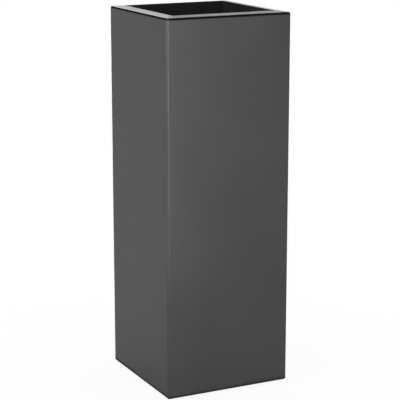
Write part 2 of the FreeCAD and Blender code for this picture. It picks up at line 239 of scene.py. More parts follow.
walls = skin.vertex_groups.new(name="walls")
pushed = 0
for corner in skin.data.vertices:
    x, y, z = corner.co
    on_wall = max(abs(x), abs(y)) > HALF - NEAR
    along = min(abs(x), abs(y))
    from_bend = min(HALF - BEND - along, z - FOOT_GAP - BEND, RIM_OUTER_LEVEL - BEND - z)
    share = min(1, max(0, from_bend / WALL_FADE)) if on_wall else 0
    walls.add([corner.index], share * share * (3 - 2 * share), "REPLACE")
    pushed += share > 0
clouds = bpy.data.textures.new("wall_clouds", "CLOUDS")
clouds.noise_scale = CLOUD_SIZE
apply_modifier(
    skin, "DISPLACE", texture=clouds, strength=WALL_DRAW, mid_level=1.0, vertex_group=walls.name,
    texture_coords="LOCAL")
print("points pushed inward", pushed, "by at most", WALL_DRAW)

# %% [markdown]
# ## The last steps of every piece
#
# All pieces end alike, so the last steps are written once. Filed edges come from a narrow Bevel modifier
# on whatever is sharp. Smooth shading by angle alone would tilt the flat faces beside a small bevel, so
# a Weighted Normal modifier follows it. Then the piece rides on a body, hides the solid that it stands
# for, and names its finish.

# %% Finish a piece and let it stand for a solid
SHARP_ANGLE = math.radians(38)
EDGE_STEPS = 2
made = []


def select_only(piece):
    """Makes one object the only selected and the active one."""
    bpy.ops.object.select_all(action="DESELECT")
    piece.select_set(True)
    bpy.context.view_layer.objects.active = piece


def ease_edges(piece, width):
    """Rounds every sharp edge of a piece by a little, as a file does."""
    apply_modifier(
        piece, "BEVEL", width=width, segments=EDGE_STEPS, limit_method="ANGLE",
        angle_limit=SHARP_ANGLE, use_clamp_overlap=True)


def stand_for(piece, node, body, slot):
    """Shades a finished piece, rides it on a body and lets it take the place of a loaded solid."""
    select_only(piece)
    bpy.ops.object.shade_smooth_by_angle(angle=SHARP_ANGLE)
    apply_modifier(piece, "WEIGHTED_NORMAL", keep_sharp=True)
    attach(piece, body)
    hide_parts(node)
    made.append((piece, slot))
    print(piece.name, "stands for", node, "with faces", len(piece.data.polygons))


print("edges count as sharp from", round(math.degrees(SHARP_ANGLE)), "degrees")

# %% [markdown]
# ## Two half shells
#
# The real column is two equal sheets. Each is folded to a left and a front wall, with one more bend at
# its open end, and the second is the first turned half round. The seams run up the ends of two corner
# bends and along the mitres of the rim. Each sheet could be folded by itself, but the halves of one skin
# are sure to meet. So we select the faces of one sheet, separate them, and then give both sheets their
# thickness inward with a Solidify modifier, and a fine edge where the metal is cut.

# %% Part the skin and thicken both sheets
SHEET = 0.0012
CUT_EDGE = 0.0002
CORNER = HALF - BEND


def on_rear_sheet(middle, normal):
    """True on the right and back walls and the rear left bend."""
    if middle.x > CORNER and middle.y < -CORNER:
        return False
    if middle.x < -CORNER and middle.y > CORNER:
        return True
    return middle.x + middle.y > 0


select_only(skin)
bpy.ops.object.mode_set(mode="EDIT")
pick("FACE", on_rear_sheet)
bpy.ops.mesh.separate(type="SELECTED")
bpy.ops.object.mode_set(mode="OBJECT")
rear_skin = next(piece for piece in bpy.context.selected_objects if piece != skin)
name_piece(rear_skin, "rear_shell_sheet")
for sheet, node in ((skin, "front_shell"), (rear_skin, "rear_shell")):
    apply_modifier(sheet, "SOLIDIFY", thickness=SHEET, offset=-1, use_even_offset=True)
    ease_edges(sheet, CUT_EDGE)
    stand_for(sheet, node, "column", "charcoal_coat")

# %% [markdown]
# ## The planting tub
#
# The tub that holds the soil is a square pan with round corners and a hem turned over at its mouth.
# It could be a skin with a Solidify modifier, but the doubled hem would lie inside itself. So it is
# carved as one closed solid instead: bevel a block, inset its top to the mouth, push that down past
# the hem, widen it by one sheet, and push it on down to the floor.

# %% Shape the tub
TUB_HALF = 0.1425
TUB_BOTTOM, TUB_TOP = 0.660, 0.960
TUB_CORNER = 0.012
TUB_BEND = 0.005
TUB_SHEET = 0.001
HEM_HEIGHT = 0.012
HEM_ROUND = 0.0009
CORNER_STEPS = 8
ROUND_STEPS = 5


def round_level(level, width):
    """Rounds the level edges that lie at one height."""
    pick("EDGE", lambda middle, way: abs(middle.z - level) < NEAR)
    bevel_picked(width, ROUND_STEPS)


def start_pan(name, half, bottom, top, corner, bend):
    """Starts a square block with round upright corners and a round bottom, its top face selected."""
    pan = start_block(name, (-half, -half, bottom), (half, half, top))
    pick("EDGE", lambda middle, way: abs(way.z) > FLAT)
    bevel_picked(corner, CORNER_STEPS)
    round_level(bottom, bend)
    pick("FACE", lambda middle, normal: normal.z > FLAT)
    return pan


tub = start_pan("planting_tub", TUB_HALF, TUB_BOTTOM, TUB_TOP, TUB_CORNER, TUB_BEND)
bpy.ops.mesh.inset(thickness=2 * TUB_SHEET)
extrude_by(0, 0, -HEM_HEIGHT)
extrude_by(0, 0, 0)
widen = (TUB_HALF - TUB_SHEET) / (TUB_HALF - 2 * TUB_SHEET)
bpy.ops.transform.resize(value=(widen, widen, 1), center_override=(0, 0, 0))
tub_floor = TUB_BOTTOM + TUB_SHEET
extrude_by(0, 0, tub_floor - TUB_TOP + HEM_HEIGHT)
round_level(tub_floor, TUB_BEND - TUB_SHEET)
round_level(TUB_TOP, HEM_ROUND)
bpy.ops.object.mode_set(mode="OBJECT")
print("tub faces before the holes", len(tub.data.polygons))

# %% [markdown]
# ## Drain holes
#
# Water leaves the tub through five round holes in its floor. A circle could be cut in with the knife,
# but a Boolean modifier with one cylinder for each hole is exact. The cylinders are joined first, so
# that one modifier does it, and are deleted after it.

# %% Punch the holes
HOLE_RADIUS = 0.006
HOLE_SPREAD = 0.08
HOLE_SIDES = 32
PUNCH_LENGTH = 0.004


def join_pieces(name, pieces):
    """Joins separate pieces into one object."""
    select_only(pieces[0])
    for piece in pieces:
        piece.select_set(True)
    bpy.ops.object.join()
    return name_piece(bpy.context.object, name)


def cut_away(piece, cutter):
    """Cuts the shape of a cutter out of a piece and deletes the cutter."""
    apply_modifier(piece, "BOOLEAN", object=cutter, operation="DIFFERENCE", solver="EXACT")
    bpy.data.objects.remove(cutter)


def punch_holes(piece, holes, level):
    """Cuts upright round holes, each (x, y, radius), through the sheet at one level."""
    punches = []
    for x, y, radius in holes:
        bpy.ops.mesh.primitive_cylinder_add(
            vertices=HOLE_SIDES, radius=radius, depth=PUNCH_LENGTH, location=(x, y, level))
        punches.append(bpy.context.object)
    cut_away(piece, join_pieces("punch", punches))


def four_corners(reach):
    """The corners of a square round the column's axis."""
    return [(x, y) for x in (-reach, reach) for y in (-reach, reach)]


tub_holes = [(x, y, HOLE_RADIUS) for x, y in [(0, 0)] + four_corners(HOLE_SPREAD)]
punch_holes(tub, tub_holes, tub_floor)
stand_for(tub, "planting_liner", "liner", "galvanised_sheet")

# %% [markdown]
# ## The floor tray
#
# A low pan closes the foot of the column and catches what drains from the tub. A skin with a Solidify
# modifier would do, but the tub's way is ready, and a closed solid takes holes cleanly. The floor has a
# drain in the middle, which the stopper closes, eight holes for the rivets that hold it to the base
# flanges, and four for the screws of the feet.

# %% Shape the tray
TRAY_GAP = 0.0003
TRAY_HEIGHT = 0.025
TRAY_SHEET = 0.0012
TRAY_CORNER = 0.0057
TRAY_BEND = 0.0045
TRAY_EDGE = 0.0004
DRAIN_RADIUS = 0.0125
FIXING_HOLE = 0.00215
RIVET_INSET, RIVET_STEP = 0.01475, 0.100
FOOT_INSET = 0.046

flange_top = FOOT_GAP + SHEET
tray_top = flange_top + TRAY_HEIGHT
tray_floor = flange_top + TRAY_SHEET
rivet_row = HALF - RIVET_INSET
foot_reach = HALF - FOOT_INSET
rivet_places = [(x, y) for x in (-rivet_row, rivet_row) for y in (-RIVET_STEP, RIVET_STEP)]
rivet_places += [(y, x) for x, y in rivet_places]

tray = start_pan(
    "floor_tray_pan", HALF - SHEET - TRAY_GAP, flange_top, tray_top, TRAY_CORNER, TRAY_BEND)
bpy.ops.mesh.inset(thickness=TRAY_SHEET)
extrude_by(0, 0, TRAY_SHEET - TRAY_HEIGHT)
round_level(tray_floor, TRAY_BEND - TRAY_SHEET)
round_level(tray_top, TRAY_EDGE)
bpy.ops.object.mode_set(mode="OBJECT")
fixing_holes = [(x, y, FIXING_HOLE) for x, y in rivet_places + four_corners(foot_reach)]
punch_holes(tray, [(0, 0, DRAIN_RADIUS)] + fixing_holes, tray_floor)
stand_for(tray, "floor_tray", "column", "galvanised_sheet")

# %% [markdown]
# ## Folded angles
#
# Bars of angle carry the tub and back the seams. Each is a strip of sheet with one fold. A block with a
# notch would have a sharp fold, so the strip is a plane instead: extrude its edge upward, bevel the fold
# line, and let a Solidify modifier give the thickness towards the inside of the fold. That keeps both
# sides of the bend round about one centre.

# %% Fold a strip to an angle
BAR_LEG, BAR_UPRIGHT = 0.028, 0.020
BAR_SHEET, BAR_BEND = 0.002, 0.0035


def fold_angle(name, length, leg, upright, sheet, bend):
    """Folds an angle along X: its outer corner on the X axis, its legs along +Y and +Z."""
    bpy.ops.object.select_all(action="DESELECT")
    bpy.ops.mesh.primitive_plane_add(size=1, location=(0, leg / 2, 0))
    angle = name_piece(bpy.context.object, name)
    angle.scale = (length, leg, 1)
    fix_place()
    bpy.ops.object.mode_set(mode="EDIT")
    pick("EDGE", lambda middle, way: middle.y < NEAR)
    extrude_by(0, 0, upright)
    pick("EDGE", lambda middle, way: middle.y < NEAR and middle.z < NEAR)
    bevel_picked(bend, CORNER_STEPS)
    bpy.ops.object.mode_set(mode="OBJECT")
    apply_modifier(angle, "SOLIDIFY", thickness=sheet, offset=1, use_even_offset=True)
    ease_edges(angle, CUT_EDGE)
    return angle


print("cradle bars have legs of", BAR_LEG, "and", BAR_UPRIGHT, "in sheet of", BAR_SHEET)

# %% [markdown]
# ## The cradle
#
# Two bars run from wall to wall under the tub, and two shorter ones lie between them. All four could be
# folded one by one. But opposite bars are alike, so each pair is one bar and its copy, turned half round
# about the column's axis.

# %% Lay the four bars
BAR_GAP = 0.0015
QUARTER = math.pi / 2
HALF_TURN = (0, 0, math.pi)


def settle(piece, place, turn):
    """Turns and moves a piece, and puts its place into its mesh."""
    select_only(piece)
    piece.location = place
    piece.rotation_euler = turn
    fix_place()


def copy_of(piece):
    """A copy of a piece with a mesh of its own."""
    select_only(piece)
    bpy.ops.object.duplicate()
    return bpy.context.object


def opposite(piece, name):
    """A copy of a piece, turned half round about the column's axis."""
    twin = name_piece(copy_of(piece), name)
    settle(twin, (0, 0, 0), HALF_TURN)
    return twin


bar_face = TUB_HALF + BAR_GAP + BAR_SHEET
bar_level = TUB_BOTTOM - BAR_SHEET
cradle = (
    ("front", "rear", 2 * (HALF - SHEET), (0, -bar_face, bar_level), 0),
    ("left", "right", 2 * (bar_face - BAR_LEG), (-bar_face, 0, bar_level), -QUARTER))
for near, far, length, place, turn in cradle:
    bar = fold_angle("cradle_bar_" + near, length, BAR_LEG, BAR_UPRIGHT, BAR_SHEET, BAR_BEND)
    settle(bar, place, (0, 0, turn))
    far_bar = opposite(bar, "cradle_bar_" + far)
    stand_for(bar, "cradle_" + near, "column", "galvanised_sheet")
    stand_for(far_bar, "cradle_" + far, "column", "galvanised_sheet")

# %% [markdown]
# ## Angles behind the seams
#
# A long angle stands in the corner behind each seam, where it backs the joint and keeps light out. It
# could be drawn as a tall block with a notch, but it is the same folded strip as a bar, only longer and
# stood on end, so the same function makes it. Its length and its foot are read from the solid that it
# stands for.

# %% Fold the seam angles
SEAM_LEG = 0.022
SEAM_SHEET, SEAM_BEND = 0.0015, 0.0045

seam_low, seam_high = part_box("seam_angle_right")
seam_length = seam_high[2] - seam_low[2]
right_seam = fold_angle("seam_strip_right", seam_length, SEAM_LEG, SEAM_LEG, SEAM_SHEET, SEAM_BEND)
settle(right_seam, (HALF - SHEET, SHEET - HALF, seam_low[2] + seam_length / 2), (0, -QUARTER, 0))
left_seam = opposite(right_seam, "seam_strip_left")
stand_for(right_seam, "seam_angle_right", "column", "galvanised_sheet")
stand_for(left_seam, "seam_angle_left", "column", "galvanised_sheet")

# %% [markdown]
# ## Round pieces
#
# The stopper, the feet and the rivets are round. Such pieces are often made by spinning an outline. Here
# a disc is extruded and resized from ring to ring instead, which needs one short list of radii and
# levels. Then the rings that are round on the real piece are picked and bevelled.

# %% Turn a piece from rings
TURN_SIDES = 48
RING_SLACK = 0.0001


def turn_piece(name, rings):
    """Builds a round piece on the Z axis: a disc is extruded to one (radius, level) after another."""
    radius, level = rings[0]
    bpy.ops.object.select_all(action="DESELECT")
    bpy.ops.mesh.primitive_circle_add(
        vertices=TURN_SIDES, radius=radius, fill_type="NGON", location=(0, 0, level))
    piece = name_piece(bpy.context.object, name)
    fix_place()
    bpy.ops.object.mode_set(mode="EDIT")
    for next_radius, next_level in rings[1:]:
        extrude_by(0, 0, next_level - level)
        size = next_radius / radius
        bpy.ops.transform.resize(value=(size, size, 1), center_override=(0, 0, next_level))
        radius, level = next_radius, next_level
    bpy.ops.mesh.select_all(action="SELECT")
    bpy.ops.mesh.normals_make_consistent(inside=False)
    return piece


def round_ring(radius, level, width):
    """Rounds the ring of edges at one radius and level."""
    across = radius * math.cos(math.pi / TURN_SIDES)
    pick("EDGE", lambda middle, way: abs(middle.z - level) < NEAR
         and abs(middle.xy.length - across) < RING_SLACK)
    bevel_picked(width, ROUND_STEPS)


print("turned pieces have", TURN_SIDES, "sides")

# %% [markdown]
# ## The rubber stopper
#
# The stopper is moulded in one: a stem in the drain, a flange on the tray, a waist and a knob to pull.
# Four cylinders on top of each other would meet in sharp corners, which a mould doesn't give. As one
# turned piece it is a single skin, and its rings can be rounded.

# %% Turn the stopper
PLUG_RADIUS = 0.0124
PLUG_REACH = 0.0015
PLUG_TAPER = 0.0005
FLANGE_RADIUS, FLANGE_HEIGHT = 0.018, 0.003
WAIST_RADIUS, WAIST_HEIGHT = 0.005, 0.007
KNOB_RADIUS, KNOB_HEIGHT = 0.009, 0.007
DIMPLE_RADIUS, DIMPLE_DEPTH = 0.005, 0.0008
PLUG_ROUND = 0.0014

plug_low = flange_top - PLUG_REACH
flange_level = tray_floor + FLANGE_HEIGHT
waist_level = flange_level + WAIST_HEIGHT
knob_level = waist_level + KNOB_HEIGHT
plug = turn_piece("drain_stopper", (
    (PLUG_RADIUS - PLUG_TAPER, plug_low), (PLUG_RADIUS, plug_low + PLUG_TAPER), (PLUG_RADIUS, tray_floor),
    (FLANGE_RADIUS, tray_floor), (FLANGE_RADIUS, flange_level), (WAIST_RADIUS, flange_level),
    (WAIST_RADIUS, waist_level), (KNOB_RADIUS, waist_level), (KNOB_RADIUS, knob_level),
    (DIMPLE_RADIUS, knob_level), (DIMPLE_RADIUS - DIMPLE_DEPTH, knob_level - DIMPLE_DEPTH)))
round_rings = (
    (FLANGE_RADIUS, flange_level), (WAIST_RADIUS, flange_level), (WAIST_RADIUS, waist_level),
    (KNOB_RADIUS, waist_level), (KNOB_RADIUS, knob_level))
for radius, level in round_rings:
    round_ring(radius, level, PLUG_ROUND)
bpy.ops.object.mode_set(mode="OBJECT")
stand_for(plug, "drain_plug", "drain_plug", "black_rubber")

# %% [markdown]
# ## The feet
#
# Four rubber pads keep the steel off the floor. Each has a sunk hole for its screw, a round lower edge
# and two grooves that let it grip. The grooves could be cut by a Boolean, but in a turned piece they are
# only a few more rings. One pad is turned, copied to the four corners, and then deleted.

# %% Turn a foot and copy it
FOOT_RADIUS = 0.016
FOOT_EDGE = 0.001
SUNK_RADIUS, SUNK_DEPTH = 0.0042, 0.0026
SUNK_EDGE = 0.0003
GROOVES = (0.0075, 0.0115)
GROOVE_HALF, GROOVE_DEPTH = 0.0006, 0.0006

foot_rings = [(SUNK_RADIUS, SUNK_DEPTH), (SUNK_RADIUS, 0)]
for groove in GROOVES:
    inner, outer = groove - GROOVE_HALF, groove + GROOVE_HALF
    foot_rings += [(inner, 0), (inner, GROOVE_DEPTH), (outer, GROOVE_DEPTH), (outer, 0)]
foot_rings += [(FOOT_RADIUS, 0), (FOOT_RADIUS, flange_top)]
pad = turn_piece("foot_pad", foot_rings)
round_ring(FOOT_RADIUS, 0, FOOT_EDGE)
for radius, level in ((SUNK_RADIUS, 0), (FOOT_RADIUS, flange_top)):
    round_ring(radius, level, SUNK_EDGE)
bpy.ops.object.mode_set(mode="OBJECT")
for x, y in four_corners(foot_reach):
    side = ("front_" if y < 0 else "rear_") + ("left" if x < 0 else "right")
    foot = name_piece(copy_of(pad), "foot_pad_" + side)
    settle(foot, (x, y, 0), (0, 0, 0))
    stand_for(foot, "foot_" + side, "column", "black_rubber")
bpy.data.objects.remove(pad)

# %% [markdown]
# ## The rivets
#
# Blind rivets hold the tray to the flanges and the brackets to the tub. A set one has a low round head
# with the broken pin sunk in its middle, and a tail swollen on the far side. A flattened ball would have
# neither, so it is a turned piece too: the rings of its head follow a ball, by the sine and cosine of
# one angle.

# %% Turn a rivet and set the rows
RIVET_RADIUS, RIVET_HEAD, RIVET_HEAD_HEIGHT = 0.002, 0.004, 0.0013
RIVET_TAIL, RIVET_TAIL_HEIGHT = 0.0032, 0.002
PIN_SHARE, PIN_DEPTH_SHARE = 0.55, 0.5
TAIL_ROUND_SHARE = 0.4
DOME_STEPS = 5


def turn_rivet(name, radius, grip, head, head_height, tail, tail_height):
    """One set rivet on the Z axis: round head below Z = 0, tail above the sheets that it grips."""
    pin = PIN_SHARE * radius
    ball = (head ** 2 + head_height ** 2) / (2 * head_height)
    first, last = math.asin(pin / ball), math.asin(head / ball)
    rings = [(pin, (PIN_DEPTH_SHARE - 1) * head_height)]
    for step in range(DOME_STEPS + 1):
        angle = first + (last - first) * step / DOME_STEPS
        rings.append((ball * math.sin(angle), ball - head_height - ball * math.cos(angle)))
    tail_end = grip + tail_height
    rings += [(radius, 0), (radius, grip), (tail, grip), (tail, tail_end)]
    rivet = turn_piece(name, rings)
    round_ring(tail, tail_end, TAIL_ROUND_SHARE * tail_height)
    bpy.ops.object.mode_set(mode="OBJECT")
    return rivet


def copy_to(piece, name, spots):
    """Copies a piece to each (place, turn), joins the copies and deletes the pattern."""
    copies = []
    for place, turn in spots:
        copies.append(copy_of(piece))
        settle(copies[-1], place, turn)
    bpy.data.objects.remove(piece)
    return join_pieces(name, copies)


rivet = turn_rivet(
    "rivet", RIVET_RADIUS, SHEET + TRAY_SHEET, RIVET_HEAD, RIVET_HEAD_HEIGHT, RIVET_TAIL,
    RIVET_TAIL_HEIGHT)
tray_spots = [((x, y, FOOT_GAP), (0, 0, 0)) for x, y in rivet_places]
tray_rivets = copy_to(rivet, "tray_rivet_set", tray_spots)
stand_for(tray_rivets, "tray_rivets", "column", "bright_steel")

# %% [markdown]
# ## The handle brackets
#
# Each handle swings in two ears. An ear is the short arm of a bent bracket whose plate lies on the tub's
# wall. A strip could be folded as for the bars, but the ear is narrower than its plate. So the plate is
# a block, sliced so that a narrow face is left where the ear grows out. That face is extruded, its end
# is rounded by two bevels as wide as half the ear, and the eye is cut with a Boolean.

# %% Bend one bracket
INNER_FACE = TUB_HALF - TUB_SHEET
PIVOT_X = 0.132
PIVOT_LEVEL = 0.928
EAR_SHEET = 0.002
EAR_LOW, EAR_HIGH = 0.057, 0.059
EAR_RADIUS = 0.007
EYE_RADIUS = 0.0026
PLATE_END = 0.079
PLATE_HALF = 0.014
PLATE_CORNER = 0.004
BRACKET_EDGE = 0.0003
ROUND_END = 0.999

plate_face = INNER_FACE - EAR_SHEET
bracket = start_block(
    "bracket", (plate_face, EAR_LOW, PIVOT_LEVEL - PLATE_HALF),
    (INNER_FACE, PLATE_END, PIVOT_LEVEL + PLATE_HALF))
pick("EDGE", lambda middle, way: abs(way.x) > FLAT and middle.y > EAR_HIGH)
bevel_picked(PLATE_CORNER, CORNER_STEPS)
slices = (
    ((0, EAR_HIGH, 0), (0, 1, 0)), ((0, 0, PIVOT_LEVEL - EAR_RADIUS), (0, 0, 1)),
    ((0, 0, PIVOT_LEVEL + EAR_RADIUS), (0, 0, 1)))
for place, across in slices:
    slice_all(place, across)
pick("FACE", lambda middle, normal: normal.x < -FLAT and middle.y < EAR_HIGH
     and abs(middle.z - PIVOT_LEVEL) < EAR_RADIUS)
ear_end = PIVOT_X - EAR_RADIUS
extrude_by(ear_end - plate_face, 0, 0)
pick("EDGE", lambda middle, way: abs(way.y) > FLAT and middle.x < ear_end + NEAR)
bevel_picked(ROUND_END * EAR_RADIUS, CORNER_STEPS)
bpy.ops.object.mode_set(mode="OBJECT")
bpy.ops.mesh.primitive_cylinder_add(
    vertices=HOLE_SIDES, radius=EYE_RADIUS, depth=2 * PUNCH_LENGTH, rotation=(QUARTER, 0, 0),
    location=(PIVOT_X, EAR_LOW, PIVOT_LEVEL))
cut_away(bracket, bpy.context.object)
ease_edges(bracket, BRACKET_EDGE)
print("bracket faces", len(bracket.data.polygons))

# %% [markdown]
# ## Four brackets and their rivets
#
# The two brackets of a handle are a left and a right one, so a turned copy wouldn't fit. The bracket is
# mirrored at the tub's middle, and the pair is copied to the other side. A mirror turns faces inside
# out, so the normals are recalculated after it. Every plate gets two small rivets with their heads
# inside the tub.

# %% Mirror the bracket and rivet it
BRACKET_RIVET, BRACKET_HEAD, BRACKET_HEAD_HEIGHT = 0.0016, 0.0032, 0.001
BRACKET_TAIL, BRACKET_TAIL_HEIGHT = 0.0028, 0.0008
BRACKET_RIVET_Y = 0.069
BRACKET_RIVET_STEP = 0.0075

mirrored = copy_of(bracket)
bpy.ops.object.mode_set(mode="EDIT")
bpy.ops.mesh.select_all(action="SELECT")
bpy.ops.transform.resize(value=(1, -1, 1), center_override=(0, 0, 0))
bpy.ops.mesh.normals_make_consistent(inside=False)
bpy.ops.object.mode_set(mode="OBJECT")
bracket_pair = join_pieces("bracket_pair", [bracket, mirrored])
bracket_spots = [((0, 0, 0), (0, 0, 0)), ((0, 0, 0), HALF_TURN)]
brackets = copy_to(bracket_pair, "handle_bracket_set", bracket_spots)
small_rivet = turn_rivet(
    "small_rivet", BRACKET_RIVET, EAR_SHEET + TUB_SHEET, BRACKET_HEAD, BRACKET_HEAD_HEIGHT,
    BRACKET_TAIL, BRACKET_TAIL_HEIGHT)
rivet_spots = [
    ((side * plate_face, end * BRACKET_RIVET_Y, PIVOT_LEVEL + step), (0, side * QUARTER, 0))
    for side in (-1, 1) for end in (-1, 1) for step in (-BRACKET_RIVET_STEP, BRACKET_RIVET_STEP)]
small_rivets = copy_to(small_rivet, "bracket_rivet_set", rivet_spots)
stand_for(brackets, "handle_brackets", "liner", "galvanised_sheet")
stand_for(small_rivets, "bracket_rivets", "liner", "bright_steel")

# %% [markdown]
# ## The wire handles
#
# Each handle is one rod, bent four times: out of its eye, down, along the grip, up and out again. A
# curve with a round bevel would do, but extruding a disc and spinning it round each bend is what the
# bending bench does, and it keeps the bends truly round. Without a window, spin turns the other way, so
# the signs of the four turns are swapped.

# %% Bend the right handle
WIRE_RADIUS = 0.0025
WIRE_SIDES = 20
WIRE_EDGE = 0.0005
PIN_END = 0.063
LEG = 0.047
SHOULDER = 0.009
GRIP_BEND = 0.014
GRIP_LEVEL = 0.873
BEND_TURN_STEPS = 8
SAME_PLACE = 1e-6


def bend_wire(y, z, turn):
    """Spins the open end of the wire round a centre in the handle's plane."""
    bpy.ops.mesh.spin(
        steps=BEND_TURN_STEPS, angle=turn, center=(PIVOT_X, y, z), axis=(1, 0, 0))


bpy.ops.object.select_all(action="DESELECT")
bpy.ops.mesh.primitive_circle_add(
    vertices=WIRE_SIDES, radius=WIRE_RADIUS, fill_type="NGON",
    location=(PIVOT_X, -PIN_END, PIVOT_LEVEL), rotation=(QUARTER, 0, 0))
right_bail = name_piece(bpy.context.object, "right_bail")
fix_place()
bpy.ops.object.mode_set(mode="EDIT")
extrude_by(0, PIN_END - LEG - SHOULDER, 0)
bend_wire(-LEG - SHOULDER, PIVOT_LEVEL - SHOULDER, QUARTER)
extrude_by(0, 0, GRIP_LEVEL + GRIP_BEND - PIVOT_LEVEL + SHOULDER)
bend_wire(-LEG + GRIP_BEND, GRIP_LEVEL + GRIP_BEND, -QUARTER)
extrude_by(0, 2 * (LEG - GRIP_BEND), 0)
bend_wire(LEG - GRIP_BEND, GRIP_LEVEL + GRIP_BEND, -QUARTER)
extrude_by(0, 0, PIVOT_LEVEL - SHOULDER - GRIP_LEVEL - GRIP_BEND)
bend_wire(LEG + SHOULDER, PIVOT_LEVEL - SHOULDER, QUARTER)
extrude_by(0, PIN_END - LEG - SHOULDER, 0)
bpy.ops.mesh.select_all(action="SELECT")
bpy.ops.mesh.remove_doubles(threshold=SAME_PLACE)
bpy.ops.mesh.normals_make_consistent(inside=False)
bpy.ops.object.mode_set(mode="OBJECT")
ease_edges(right_bail, WIRE_EDGE)
wire_levels = [corner.co.z for corner in right_bail.data.vertices]
print("handle hangs from", max(wire_levels), "to", min(wire_levels))

# %% [markdown]
# ## The second handle
#
# Both handles are bent alike, so the left one is a copy of the right, turned half round about the
# column's axis. A mirror would do as well, but it turns faces inside out, and a turn doesn't.

# %% Copy the handle to the left side
left_bail = opposite(right_bail, "left_bail")
stand_for(right_bail, "right_handle", "right_handle", "bright_steel")
stand_for(left_bail, "left_handle", "left_handle", "bright_steel")

# %% [markdown]
# ## Finishes
#
# Four finishes cover the whole object: a charcoal satin coat, galvanised sheet, bright plated steel
# and black rubber. They share a few surface effects, so each effect is built once as a node group and
# placed in the materials with its own values. All patterns read Object coordinates, in metres, so they
# keep their real scale. Two helpers keep the node work short: one adds a node and fills its inputs, the
# other opens a group with named sockets. Nodes could be added and linked one by one, as at the screen,
# but in a script that takes three lines for each of them.

# %% Helpers for nodes and groups
NUMBER = "NodeSocketFloat"
COLOUR = "NodeSocketColor"


def add_node(tree, kind, inputs, **settings):
    """Adds a node; an input given as a socket is linked, any other is set as a value."""
    node = tree.nodes.new("ShaderNode" + kind)
    for setting, value in settings.items():
        setattr(node, setting, value)
    for label, value in inputs.items():
        if isinstance(value, bpy.types.NodeSocket):
            tree.links.new(value, node.inputs[label])
        else:
            node.inputs[label].default_value = value
    return node


def open_group(name, inputs, outputs):
    """A new node group with named sockets; each input is (label, socket type, value)."""
    group = bpy.data.node_groups.new(name, "ShaderNodeTree")
    for label, kind, value in inputs:
        group.interface.new_socket(label, in_out="INPUT", socket_type=kind).default_value = value
    for label, kind in outputs:
        group.interface.new_socket(label, in_out="OUTPUT", socket_type=kind)
    given = group.nodes.new("NodeGroupInput").outputs
    result = group.nodes.new("NodeGroupOutput").inputs
    place = group.nodes.new("ShaderNodeTexCoord").outputs
    return group, given, result, place


print("pieces that wait for a finish", len(made))

# %% [markdown]
# ### Cloudy tone
#
# No sprayed, dipped or rolled surface has one even tone. Painted clouds would belong to one mesh only.
# This group mixes two tones by a soft noise instead, and mixes two roughness values by the same noise,
# so that the gloss changes along with the tone.

# %% Build the cloudy tone group
CLOUD_LIMITS = (0.3, 0.7)


def soft_noise(tree, vector, scale, detail):
    """A grey noise texture; gives its value."""
    node = add_node(tree, "TexNoise", {"Vector": vector, "Scale": scale, "Detail": detail})
    return node.outputs["Fac"]


def spread(tree, value, low, high, **settings):
    """Spreads what lies between two limits over 0 to 1."""
    limits = {"Value": value, "From Min": low, "From Max": high}
    return add_node(tree, "MapRange", limits, **settings).outputs["Result"]


def blend_tone(tree, mask, below, above):
    """Mixes one colour over another by a mask."""
    node = add_node(tree, "Mix", {"Factor": mask, "A": below, "B": above}, data_type="RGBA")
    return node.outputs["Result"]


def blend_value(tree, mask, below, above):
    """Mixes one number over another by a mask."""
    return add_node(tree, "Mix", {"Factor": mask, "A": below, "B": above}).outputs["Result"]


cloudy, given, result, place = open_group(
    "cloudy_tone",
    [("Tone", COLOUR, (0.1, 0.1, 0.1, 1)), ("Other Tone", COLOUR, (0.12, 0.12, 0.12, 1)),
     ("Scale", NUMBER, 6.0), ("Smooth", NUMBER, 0.4), ("Rough", NUMBER, 0.5)],
    [("Color", COLOUR), ("Roughness", NUMBER)])
cloud = soft_noise(cloudy, place["Object"], given["Scale"], detail=4.0)
share = spread(cloudy, cloud, *CLOUD_LIMITS)
cloudy.links.new(blend_tone(cloudy, share, given["Tone"], given["Other Tone"]), result["Color"])
cloudy.links.new(blend_value(cloudy, share, given["Smooth"], given["Rough"]), result["Roughness"])
print("group", cloudy.name, "nodes", len(cloudy.nodes))

# %% [markdown]
# ### Fine grain
#
# A baked powder coat has the faint dimples of orange peel, and moulded rubber takes the grain of its
# mould. Both are a fine noise that a Bump node turns into small tilts of the surface. Modelling it
# would take millions of faces, so the group puts out a height only.

# %% Build the fine grain group
grain, given, result, place = open_group(
    "fine_grain", [("Scale", NUMBER, 700.0)], [("Height", NUMBER)])
dimples = soft_noise(grain, place["Object"], given["Scale"], detail=2.0)
grain.links.new(dimples, result["Height"])
print("group", grain.name, "nodes", len(grain.nodes))

# %% [markdown]
# ### Settled dust
#
# Dust lies only on what faces up. It could be painted on, piece by piece, but the object's own normal
# tells where it goes, and a noise breaks it up. Rims and floors get patches, and walls stay clean. The
# group puts out a mask.

# %% Build the dust group
FACES_UP = (0.75, 1.0)
PATCH_LIMITS = (0.35, 0.7)


def calculate(tree, operation, first, second):
    """One Math node; gives its result."""
    return add_node(tree, "Math", {0: first, 1: second}, operation=operation).outputs["Value"]


dust, given, result, place = open_group(
    "settled_dust", [("Amount", NUMBER, 0.2), ("Scale", NUMBER, 30.0)], [("Mask", NUMBER)])
upward = add_node(dust, "SeparateXYZ", {"Vector": place["Normal"]})
lying = spread(dust, upward.outputs["Z"], *FACES_UP)
specks = soft_noise(dust, place["Object"], given["Scale"], detail=6.0)
laid = calculate(dust, "MULTIPLY", lying, spread(dust, specks, *PATCH_LIMITS))
dust.links.new(calculate(dust, "MULTIPLY", laid, given["Amount"]), result["Mask"])
print("group", dust.name, "nodes", len(dust.nodes))

